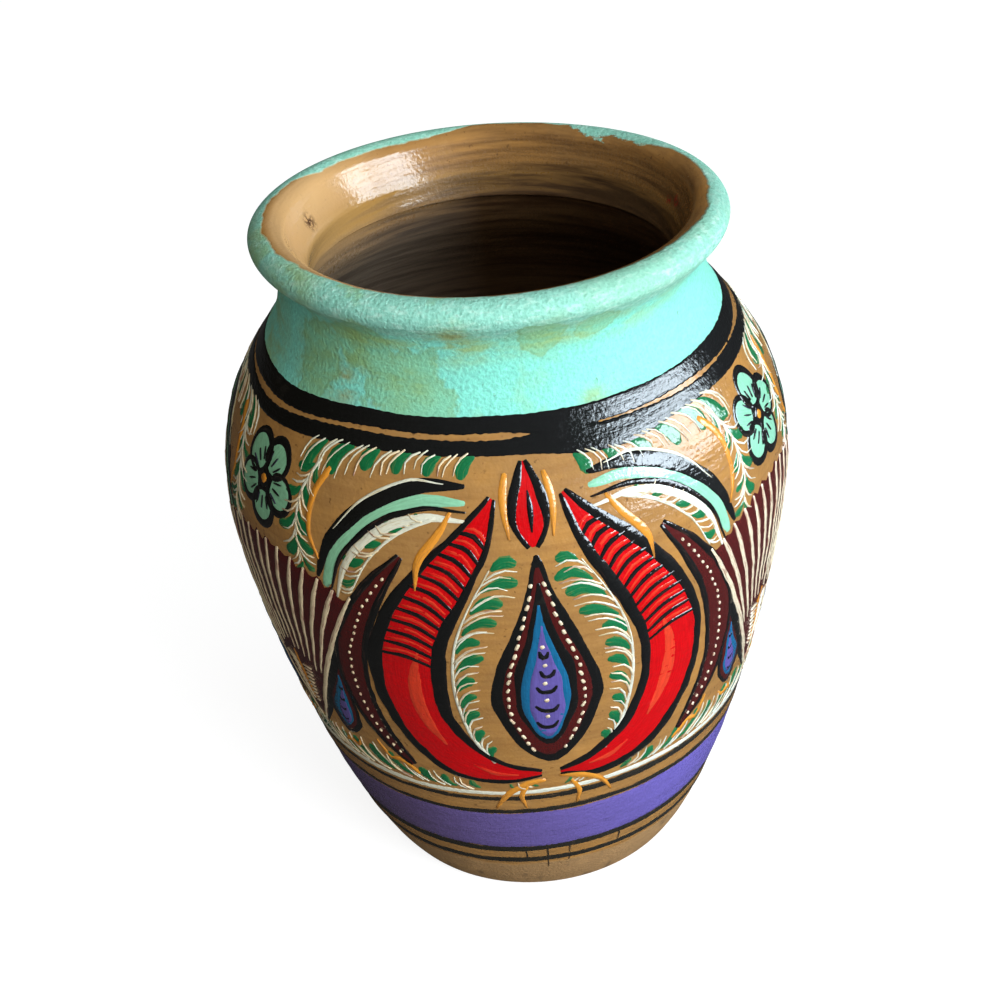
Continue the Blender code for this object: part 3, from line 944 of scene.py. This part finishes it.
def enamel(name, value, under, thin, gloss, relief, left_shade_share=0.55):
    """Brushed enamel under varnish. Where the brush ran dry, the paint below shows between its ridges."""
    made, n, shader = surface(name)
    ridges = n.effect("Brush drag", n.add("UVMap", uv_map="brush").outputs[0], Along=1.6, Across=26.0)
    patches = n.effect("Mottle", Size=140.0, Share=0.5, Softness=0.6)
    scuffs = n.effect("Mottle", Size=75.0, Share=0.24, Softness=0.22)
    shade = n.mix(ridges, rgba(value, 0.78), rgba(value, 1.14))
    shade = n.over(shade, (patches, 0.35, rgba(value, 0.62)), (n.times(scuffs, ridges), 0.11, DUST))
    # Painted shade: every enamel is darkened and warmed towards its left side, away from the light
    side = n.add("SeparateXYZ", {"Vector": n.place}).outputs["X"]
    shade = n.mix(n.spread(side, 0.035, -0.035, 0.0, left_shade_share), shade, WARM_SHADE, "MULTIPLY")
    dryness = n.times(n.spread(n.marked("load"), 0.9, 0.0, 0.25, 1.0), thin)
    edge = n.spread(n.marked("edge"), 0.30, 1.0, 0.0, 0.55)
    bare = n.spread(n.plus(ridges, dryness, edge), 1.0, 1.28)
    looks = {
        "Base Color": n.mix(bare, shade, rgba(under)),
        "Roughness": n.spread(n.effect("Grain", Size=1300.0), 0.3, 0.8, gloss, gloss + 0.08),
        "Specular IOR Level": 0.65,
        "Normal": n.bump([(ridges, 0.014 * relief), *varnish_relief(n)]),
    }
    n.fill(shader, looks)
    return made


def varnished_clay(n, clay, blotch, turned):
    """Ochre clay with blotches, lines left by the wheel and the cloth, grime and pits."""
    soft = n.effect("Mottle", Size=55.0, Share=0.55, Softness=0.5)
    grime = n.effect("Mottle", Size=34.0, Share=0.36, Softness=0.34)
    return n.over(
        n.mix(soft, rgba(clay.clay, 0.84), rgba(clay.clay, 1.14, 1.08, 0.85)),
        (blotch, 0.35, rgba(clay.clay, 1.25, 1.35, 1.6)),
        (n.spread(turned, 0.45, 0.7), 0.35, rgba(clay.clay, 0.5, 0.42, 0.45)),
        (grime, 0.42, rgba(clay.clay, 0.46, 0.50, 0.62)),
        (n.spread(n.noise(700.0, 2.0, 0.5), 0.66, 0.74), 0.6, PIT),
    )


def inside_mouth(n, body, past_crest, across, turned):
    """Painted light and shade inside the mouth, streaked along the wheel lines, with smudges and splashes of
    paint on the collar.
    """
    # Painted light: a paler pool on the clay just inside the lip on the left
    lit = n.times(n.spread(past_crest, -0.5, 1.5), n.spread(across, -0.022, -0.040))
    crease = n.times(n.spread(past_crest, 11.0, 14.5), n.spread(past_crest, 27.0, 18.0))
    body = n.over(body, (lit, 0.75, LIT_CLAY), (crease, 0.45, CREASE_OCHRE))
    # Painted shade: the clay darkens below the crease, streaked along the wheel lines, starting higher at the
    # back and right
    streaks_and_side_shade = n.plus(n.swing(turned, 26.0), n.spread(across, -0.034, 0.010, 0.0, 20.0))
    painted_deep_shade = n.spread(n.plus(past_crest, streaks_and_side_shade), 17.0, 38.0)
    inner_shade_tone = n.mix(n.spread(turned, 0.40, 0.62), SHADE_INSIDE, DARKER_SHADE_INSIDE)
    # Painted reflected light: on the left the painted shade is a paler grey brown
    inner_left_light = n.mix(n.spread(turned, 0.38, 0.64), LIGHT_INSIDE_LEFT, DIMMER_LIGHT_INSIDE_LEFT)
    inner_shade_tone = n.mix(n.spread(across, 0.000, -0.034), inner_shade_tone, inner_left_light)
    # Painted shade: nearly black far down inside
    inner_shade_tone = n.mix(n.spread(past_crest, 42.0, 110.0), inner_shade_tone, DEEPEST_SHADE)
    body = n.mix(painted_deep_shade, body, inner_shade_tone)
    body = n.mix(n.ragged(SMUDGES, n.noise(900.0, 4.0, 0.6), 0.42, 0.52), body, SOOT)
    return n.mix(n.ragged(SPLASHES, n.noise(800.0, 2.0, 0.5), 0.42, 0.50), body, SPLASH), painted_deep_shade


def bare_foot(n, clay, past_crest, height, blotch):
    """Bare clay with a few runs of dark paint, and the mask of where it shows."""
    bare = n.mix(blotch, rgba(clay.bare, 0.82), rgba(clay.bare, 1.1))
    runs = n.spread(n.noise(260.0, 2.0, 0.5, n.stretched(1.0, 1.0, 0.06)), 0.60, 0.72)
    wavy = n.plus(height, n.swing(n.noise(90.0, 3.0, 0.5), 0.003))
    shown = n.times(n.spread(wavy, 0.0158, 0.0146), n.spread(past_crest, 0.0, -10.0))
    return n.over(bare, (runs, 0.55, DARK_RUN)), shown


def neck_paint(n, clay, past_crest, axes, sand, coarse):
    """Matt turquoise with washes, moss, rust, tide marks and specks, and chalky on the lip, partly as painted
    highlights.
    """
    on_lip = n.spread(past_crest, -14.5, -11.5)
    fresh = n.mix(on_lip, rgba(clay.turquoise), FRESH_LIP)
    worn = n.mix(on_lip, rgba(clay.turquoise, 0.74), WORN_LIP)
    washes = n.times(
        n.effect("Mottle", Size=30.0, Share=0.46, Softness=0.07),
        n.spread(axes["X"], 0.012, -0.016, 0.25, 1.0),
        n.spread(axes["Y"], 0.022, 0.004, 0.15, 1.0),
    )
    # Pale patches on the lip's top: chalky dust and painted highlights
    chalk_and_glints = n.spread(n.noise(330.0, 4.0, 0.65, n.stretched(1.0, 1.0, 2.4)), 0.50, 0.72)
    tide = n.plus(n.near(TIDE, 0.0), n.swing(n.noise(95.0, 5.0, 0.58), 1.5))
    under_lip = n.times(
        n.spread(past_crest, -21.0, -16.0), n.spread(past_crest, -11.5, -14.0),
        n.spread(coarse, 0.42, 0.62), n.spread(axes["Y"], -0.025, -0.045),
    )
    return n.over(
        n.mix(n.spread(sand, 0.35, 0.75), worn, fresh),
        (washes, 0.80, WASH),
        (n.times(chalk_and_glints, on_lip), 0.50, CHALK_AND_GLINTS),
        (n.ragged(MOSS, coarse, 0.33, 0.60), 0.62, MOSS_GREEN),
        (n.ragged(RUST, coarse, 0.42, 0.60), 0.55, RUST_BROWN),
        (n.spread(tide, 0.34, 0.42), 0.46, TIDE_GREEN),
        (n.times(n.spread(tide, 0.33, 0.40), n.spread(tide, 0.52, 0.42)), 0.24, SHORE),
        (under_lip, 0.60, UNDER_LIP),
        (n.spread(n.noise(520.0, 3.0, 0.6), 0.69, 0.75), 0.55, SPECK),
    )


def neck_paint_mask(n, past_crest, over_band, across, coarse):
    """Where the turquoise lies, from the neck bands to a ragged edge near the lip's crest."""
    bald = n.plus(
        n.times(n.near(BALD_BACK, 14 / 26), 2.0),
        n.spread(across, -0.036, -0.050, 0.0, 2.2),
        n.spread(across, 0.036, 0.050, 0.0, 1.2),
        n.times(n.near(FULL_BACK, 20 / 34), -1.3),
    )
    drips = n.times(n.ragged(DRIPS, coarse, 0.30, 0.62), -4.0)
    rim = n.plus(n.plus(past_crest, n.swing(n.noise(130.0, 4.0, 0.55), 2.6)), n.plus(drips, bald))
    return n.times(n.spread(rim, 1.6, 1.0), n.spread(over_band, -0.3, 0.3))


def clay_wall(name, clay):
    """Varnished ochre clay, matt turquoise from the neck bands to the lip's crest, and bare clay at the foot."""
    made, n, shader = surface(name)
    past_crest, over_band = n.marked("past_crest"), n.marked("over_band")
    axes = n.add("SeparateXYZ", {"Vector": n.place}).outputs
    sand = n.effect("Grain", Size=1150.0)
    blotch = n.effect("Mottle", Size=170.0, Share=0.45, Softness=0.45)
    turned = n.noise(130.0, 5.0, 0.6, n.stretched(0.30, 0.30, 5.0))
    coarse = n.noise(120.0, 5.0, 0.62, n.stretched(1.0, 1.0, 2.4))
    body = varnished_clay(n, clay, blotch, turned)
    body, painted_deep_shade = inside_mouth(n, body, past_crest, axes["X"], turned)
    bare, foot = bare_foot(n, clay, past_crest, axes["Z"], blotch)
    paint = neck_paint(n, clay, past_crest, axes, sand, coarse)
    on_neck = neck_paint_mask(n, past_crest, over_band, axes["X"], coarse)

    varnish = n.plus(
        n.spread(sand, 0.3, 0.8, 0.12, 0.24), n.times(foot, 0.45), n.times(painted_deep_shade, 0.20),
        n.spread(past_crest, 0.0, 3.0, 0.0, -0.02),
    )
    gritty = n.times(sand, n.spread(n.fold("MAXIMUM", (on_neck, foot)), 0, 1, 0.03, 1.0))
    flaring = n.spread(past_crest, 2.0, 14.5, 0.0, 12.5)
    calm = n.spread(past_crest, 0.0, 3.0, 1.0, 0.72)
    shine = [(n.times(height, calm), depth) for height, depth in varnish_relief(n)]
    looks = {
        "Base Color": n.mix(on_neck, n.mix(foot, body, bare), paint),
        "Roughness": n.add("Mix", {0: on_neck, 2: varnish, 3: 0.74}, data_type="FLOAT").outputs[0],
        "Specular IOR Level": 0.42,
        "Normal": n.bump([(gritty, 0.30), (turned, 0.10), (flaring, 0.07), *shine]),
    }
    n.fill(shader, looks)
    return made


def floor_paper(name, seen, felt):
    """A pale sweep. The camera sees it lit from within, and the vase is lit by less than it shows."""
    made, n, shader = surface(name)
    ray = n.add("LightPath").outputs
    lit_by = n.mix(ray["Is Glossy Ray"], rgba(felt), rgba(felt, 0.2))
    looks = {
        "Base Color": n.mix(ray["Is Camera Ray"], lit_by, rgba(seen)),
        "Emission Strength": n.times(ray["Is Camera Ray"], 0.84),
        "Emission Color": (1.0, 1.0, 1.0, 1.0),
        "Roughness": 0.9,
        "Specular IOR Level": 0.1,
    }
    n.fill(shader, looks)
    return made


def room(stage):
    """Light from all round, bright from the right and the front and dim from the left and behind."""
    world = bpy.data.worlds.new("room")
    world.use_nodes = True
    n = Nodes(world.node_tree)
    way = n.add("TexCoord").outputs["Generated"]
    lit = n.add("VectorMath", {0: way, 1: (0.72, -0.45, 0.53)}, operation="DOT_PRODUCT").outputs["Value"]
    mirrored = n.add("LightPath").outputs["Is Glossy Ray"]
    strength = n.spread(lit, -0.5, 0.9, stage.dim, stage.sky)
    looks = {
        "Strength": n.times(strength, n.spread(mirrored, 0.0, 1.0, 1.0, 0.18)),
        "Color": n.mix(n.spread(lit, -0.6, 0.5), (1.0, 0.84, 0.58, 1), (0.93, 0.97, 1.0, 1)),
    }
    n.fill(world.node_tree.nodes["Background"].inputs, looks)
    return world


# Operators


class VASE_OT_floor_disc(bpy.types.Operator):
    """Turns the slab that closes the bottom of the pot"""

    bl_idname = "vase.floor_disc"
    bl_label = "Floor disc"

    def execute(self, context):
        form = PotForm(context.scene.vase_clay)
        low, high = form.disc_edge()
        dish = (0, high[1] - FLOOR_DISH)
        outline = np.vstack([line(dish, high, 24), line(high, low, 4)[1:], line(low, (0, 0), 16)[1:]])
        finish_clay(turned_piece("fired_floor", outline, False, form), form, "floor_disc")
        return {"FINISHED"}


class VASE_OT_lower_wall(bpy.types.Operator):
    """Turns the lower wall, from the foot's round edge up to the belly"""

    bl_idname = "vase.lower_wall"
    bl_label = "Lower wall"

    def execute(self, context):
        clay = context.scene.vase_clay
        form = PotForm(clay)
        foot = form.foot_arc()[1:]
        low, high = form.disc_edge()
        inside = form.inside_of(form.body, clay.floor + FLOOR_FILLET, math.inf)
        x, z = inside[0]
        corner = np.array([x - (z - clay.floor) * math.tan(clay.foot_lean), clay.floor])
        t = np.linspace(0, 1, 9)[:-1, None]
        fillet = (1 - t) ** 2 * (corner - (FLOOR_FILLET, 0)) + 2 * t * (1 - t) * corner + t * t * inside[0]
        under = [line(foot[-1], low, 6)[1:], line(low, high, 4)[1:]]
        joint = line(form.belly_seat, form.belly, 3)[:-1]
        outline = np.vstack([form.body[0][::-1], foot, *under, fillet, inside[:-1], joint])
        finish_clay(turned_piece("fired_lower_wall", outline, True, form), form, "lower_wall")
        return {"FINISHED"}


class VASE_OT_shoulder_wall(bpy.types.Operator):
    """Turns the shoulder wall, from the belly in to the neck"""

    bl_idname = "vase.shoulder_wall"
    bl_label = "Shoulder wall"

    def execute(self, context):
        form = PotForm(context.scene.vase_clay)
        low, high = form.belly_seat, form.crease
        apart = 0.0003
        inside = form.inside_of(form.shoulder, low[1] + apart, high[1] - apart)
        joints = line(form.belly, low, 3)[1:], line(high, form.neck, 3)[:-1]
        outline = np.vstack([form.shoulder[0][::-1], joints[0], inside, joints[1]])
        piece = turned_piece("fired_shoulder_wall", outline, True, form)
        finish_clay(piece, form, "shoulder_wall")
        return {"FINISHED"}


class VASE_OT_neck(bpy.types.Operator):
    """Turns the flared collar and the rolled lip"""

    bl_idname = "vase.neck"
    bl_label = "Collar and lip"

    def execute(self, context):
        form = PotForm(context.scene.vase_clay)
        outer, inner = form.lip_point(LIP_SEAT_OUTER), form.lip_point(LIP_SEAT_INNER)
        ledge = form.crease + np.array(CREASE_LEDGE)
        mouth = [line(form.neck, form.crease, 3)[1:], ledge[:-1], line(ledge[-1], inner, 14)]
        outline = np.vstack([form.flare()[::-1], *mouth, line(inner, outer, 4)[1:-1]])
        finish_clay(turned_piece("fired_collar", outline, True, form), form, "neck_collar")

        outline = np.vstack([form.roll(LIP_SEAT_INNER, LIP_SEAT_OUTER, 40), line(outer, inner, 4)[1:-1]])
        finish_clay(turned_piece("fired_lip", outline, True, form), form, "rim_bead")
        return {"FINISHED"}


# Waves of an unsteady line, as how many go round the pot
SLOW, QUICK, TREMBLE, GAP_WAVES = (1, 2, 3, 5), (7, 11, 17, 23), (60, 97, 141, 190), (3, 4, 7, 9)

# Thin lines as (middle, half width) up the wall, and runs of their paint as (x, top, bottom)
THIN_LINES = ((49.9, 1.05), (43.8, 1.05), (24.7, 1.35), (18.3, 1.25))
PAINT_RUNS = (
    (-6.5, 26.5, 17.0), (0.8, 26.5, 12.5), (8.6, 26.0, 15.5),
    (27.0, 25.0, 19.0), (-88.0, 26.0, 14.0), (120.0, 26.0, 16.0),
)


class VASE_OT_bands(bpy.types.Operator):
    """Paints the bands and lines that run round the pot"""

    bl_idname = "vase.bands"
    bl_label = "Bands"

    def execute(self, context):
        clay, paint = context.scene.vase_clay, context.scene.vase_paint
        form = PotForm(clay)
        rng = np.random.default_rng(41)
        around = 2 * math.pi * clay.belly_radius / MM

        def edge(s, size=1.0):
            return s + size * (wander(0.28, SLOW, rng) + wander(0.17, QUICK, rng) + wander(0.10, TREMBLE, rng))

        turn = np.linspace(-math.pi, math.pi, BAND_STEPS, endpoint=False)
        top, middle, bottom = neck_band_edges(turn)
        gap = 0.50 + wander(0.45, GAP_WAVES, rng) + wander(0.12, TREMBLE, rng)
        gap -= 1.5 * hump(turn, 0.20, 0.14) + 1.2 * hump(turn, -2.88, 0.3)
        neck = Coat(0.03, 0.09, 1)
        neck.ring(middle + gap, edge(top, 0.7), around, 9)
        neck.ring(edge(bottom, 0.7), middle - gap, around, 11)
        neck_enamel = enamel("neck_band_enamel", paint.black, (0.030, 0.026, 0.022), 0.12, 0.08, 2.0)
        neck.dry("neck_bands", form, neck_enamel)

        thin = Coat(0.03, 0.06, 2)
        for at, half in THIN_LINES:
            thin.ring(edge(at - half, 0.8), edge(at + half, 0.8), around, 5)
        for x, top, bottom in PAINT_RUNS:
            thin.stroke([(x, top, 0.45), (x + 0.2, (top + bottom) / 2, 0.40), (x, bottom, 0.25)])
        thin_enamel = enamel("thin_band_enamel", (0.022, 0.020, 0.016), rgba(clay.clay, 0.5), 0.36, 0.24, 0.7)
        thin.dry("thin_bands", form, thin_enamel)

        purple = Coat(0.02, 0.06, 3)
        purple.ring(edge(paint.purple_low), edge(paint.purple_high), around, 15)
        strong = tuple(c * 1.25 for c in paint.purple)
        # The purple band takes the painted shade on its left side at full strength
        purple_enamel = enamel("purple_band_enamel", strong, (0.050, 0.040, 0.105), 0.52, 0.24, 0.6, 1.0)
        purple.dry("purple_band", form, purple_enamel)

        white, half = Coat(0.04, 0.08, 4), 0.95
        white.ring(edge(paint.white_line - half, 0.7), edge(paint.white_line + half, 0.7), around, 6)
        white.dry("white_line", form, enamel("white_line_enamel", paint.white, clay.clay, 0.30, 0.22, 0.7))
        return {"FINISHED"}


COATS = (
    # coat, piece, tint, paint below, height of its underside, thickness, how dry the brush ran, gloss, relief
    ("red", "red_petals", "red", (0.30, 0.006, 0.008), 0.030, 0.050, 0.12, 0.09, 0.5),
    ("mint", "mint_strokes", "mint", (0.14, 0.26, 0.16), 0.030, 0.050, 0.26, 0.14, 0.8),
    ("green", "green_leaves", "green", (0.10, 0.17, 0.05), 0.050, 0.050, 0.40, 0.12, 0.8),
    ("black", "black_bands", "black", (0.035, 0.025, 0.02), 0.070, 0.050, 0.16, 0.08, 0.9),
    ("maroon", "maroon_fans", "maroon", (0.030, 0.008, 0.007), 0.110, 0.040, 0.22, 0.12, 0.8),
    ("scarlet", "scarlet_lights", "scarlet", (0.60, 0.001, 0.004), 0.080, 0.022, 0.34, 0.10, 0.5),
    ("white", "white_leaves", "white", (0.50, 0.40, 0.22), 0.120, 0.050, 0.30, 0.20, 0.6),
    ("outline", "black_outlines", "black", (0.040, 0.020, 0.015), 0.150, 0.070, 0.18, 0.08, 0.9),
    ("blue", "blue_drops", "blue", (0.006, 0.045, 0.11), 0.210, 0.040, 0.22, 0.16, 0.6),
    ("purple", "purple_drops", "purple", (0.05, 0.04, 0.16), 0.235, 0.040, 0.22, 0.16, 0.6),
    ("fine", "fine_black_marks", "black", (0.03, 0.025, 0.05), 0.260, 0.070, 0.15, 0.14, 0.8),
    ("orange", "orange_commas", "orange", (0.42, 0.17, 0.03), 0.170, 0.080, 0.34, 0.20, 0.8),
    ("cream", "cream_ribs", "cream", (0.36, 0.20, 0.14), 0.180, 0.090, 0.26, 0.20, 0.8),
    ("dots", "cream_dots", "cream", (0.45, 0.28, 0.18), 0.290, 0.100, 0.20, 0.20, 0.6),
)


class VASE_OT_flowers(bpy.types.Operator):
    """Paints the flower panels, each colour a piece of its own"""

    bl_idname = "vase.flowers"
    bl_label = "Flower panels"

    def execute(self, context):
        clay, paint = context.scene.vase_clay, context.scene.vase_paint
        form = PotForm(clay)
        coats = {key: Coat(lift, body, 100 + k) for k, (key, _, _, _, lift, body, *_) in enumerate(COATS)}
        wide = 2 * math.pi * clay.belly_radius / MM / paint.panels
        for panel in range(paint.panels):
            middle = paint.turn + panel * wide
            rng = np.random.default_rng(700 + panel)
            for side in (1, -1):
                pen = Pen(coats, middle, side, rng)
                for motif in (draw_petal, draw_crescent, draw_plume, draw_sprays, draw_side_buds, draw_commas):
                    motif(pen)
            upright = Pen(coats, middle, 1, rng)
            draw_bud(upright)
            draw_crown(upright)
            beside = Pen(coats, middle + wide / 2, 1, rng)
            draw_fan(beside)
            draw_rosette(beside)
        for key, piece, tint, under, _, _, thin, gloss, relief in COATS:
            finish = enamel(piece + "_enamel", getattr(paint, tint), under, thin, gloss, relief)
            coats[key].dry(piece, form, finish)
        return {"FINISHED"}


DAYLIGHT, SKYLIGHT, INDOORS = (0.84, 0.93, 1.0), (0.77, 0.90, 1.0), (0.98, 0.97, 0.94)
LAMPS = (
    # name, angle round from the right, angle up, width and height, share of the window's power, tint, mirrored
    ("window_light", -49, 17, (0.69, 0.50), 1.0, DAYLIGHT, False),
    ("window_light_right", -8, 15, (0.60, 0.50), 0.34, DAYLIGHT, False),
    ("room_front", -63, 32, (1.10, 0.90), 0.58, INDOORS, False),
    ("window_pane_left", -31, 17, (0.50, 0.56), 1.30, SKYLIGHT, True),
    ("window_pane_right", -6, 16, (0.42, 0.56), 0.95, SKYLIGHT, True),
)
LAMP_DISTANCE, LAMP_AIM = 1.2, Vector((0, 0, 0.12))
CAMERA_TURN, CAMERA_NOD = -0.0060, 0.0314


class VASE_OT_stage(bpy.types.Operator):
    """Sets the pale floor, the lights and the camera"""

    bl_idname = "vase.stage"
    bl_label = "Stage"

    def execute(self, context):
        stage = context.scene.vase_stage
        clean_start()
        bpy.ops.mesh.primitive_circle_add(vertices=96, radius=4.0, fill_type="NGON", location=(0, 0, 0))
        floor = context.object
        floor.name = "studio_floor"
        floor.data.materials.append(floor_paper("floor_paper", (0.36, 0.36, 0.36), (0.30, 0.29, 0.28)))
        context.scene.world = room(stage)
        for lamp in LAMPS:
            self.light(stage.window, *lamp)
        context.scene.view_settings.view_transform = "Standard"
        context.scene.view_settings.look = "None"
        self.camera(context, stage)
        return {"FINISHED"}

    def light(self, window, name, turn, rise, size, share, tint, mirrored):
        """The soft lamps light the vase. The mirrored ones are the window's panes, seen in the varnish."""
        turn, rise = math.radians(turn), math.radians(rise)
        out = Vector((math.cos(turn) * math.cos(rise), math.sin(turn) * math.cos(rise), math.sin(rise)))
        data = bpy.data.lights.new(name, "AREA")
        data.shape, data.size, data.size_y = "RECTANGLE", *size
        data.energy, data.color = window * share, tint
        lamp = bpy.data.objects.new(name, data)
        lamp.location = LAMP_AIM + LAMP_DISTANCE * out
        lamp.rotation_euler = (-out).to_track_quat("-Z", "Y").to_euler()
        lamp.visible_glossy, lamp.visible_diffuse = mirrored, not mirrored
        bpy.context.collection.objects.link(lamp)

    def camera(self, context, stage):
        """The photograph's view: in front, looking down, leaning a little to the side."""
        back = Vector((0, -math.cos(stage.rise), math.sin(stage.rise)))
        place = Vector((0, 0, stage.aim)) + stage.distance * back
        ahead, right = -back, Vector((1, 0, 0))
        down = ahead.cross(right)
        turn = Matrix.Rotation(CAMERA_TURN, 3, down)
        ahead, right = turn @ ahead, turn @ right
        nod = Matrix.Rotation(CAMERA_NOD, 3, right)
        ahead, down = nod @ ahead, nod @ down
        c, s = math.cos(stage.roll), math.sin(stage.roll)
        right, down = right * c + down * s, down * c - right * s
        data = bpy.data.cameras.new("camera")
        data.lens, data.sensor_width = stage.lens, 36.0
        data.clip_start = 0.01
        camera = bpy.data.objects.new("camera", data)
        context.collection.objects.link(camera)
        axes = Matrix((right, -down, -ahead)).transposed().to_4x4()
        camera.matrix_world = Matrix.Translation(place) @ axes
        context.scene.camera = camera


class VASE_PT_panel(bpy.types.Panel):
    """The vase's steps, in the order in which they are made"""

    bl_idname = "VASE_PT_panel"
    bl_label = "Painted vase"
    bl_space_type = "VIEW_3D"
    bl_region_type = "UI"
    bl_category = "Vase"

    def draw(self, context):
        layout = self.layout
        for step in STEPS:
            layout.operator(step.bl_idname)
        for name in SETTINGS:
            settings = getattr(context.scene, name)
            box = layout.box()
            box.label(text=name.removeprefix("vase_").title())
            for key in settings.__annotations__:
                box.prop(settings, key)


STEPS = (
    VASE_OT_floor_disc, VASE_OT_lower_wall, VASE_OT_shoulder_wall, VASE_OT_neck,
    VASE_OT_bands, VASE_OT_flowers, VASE_OT_stage,
)
SETTINGS = {"vase_clay": VaseClay, "vase_paint": VasePaint, "vase_stage": VaseStage}


def register():
    for name, settings in SETTINGS.items():
        bpy.utils.register_class(settings)
        setattr(bpy.types.Scene, name, PointerProperty(type=settings))
    for made in (*STEPS, VASE_PT_panel):
        bpy.utils.register_class(made)


def unregister():
    for made in (VASE_PT_panel, *reversed(STEPS)):
        bpy.utils.unregister_class(made)
    for name, settings in SETTINGS.items():
        delattr(bpy.types.Scene, name)
        bpy.utils.unregister_class(settings)


def main():
    register()
    bpy.ops.vase.floor_disc()
    bpy.ops.vase.lower_wall()
    bpy.ops.vase.shoulder_wall()
    bpy.ops.vase.neck()
    bpy.ops.vase.bands()
    bpy.ops.vase.flowers()
    bpy.ops.vase.stage()


if __name__ == "__main__":
    main()
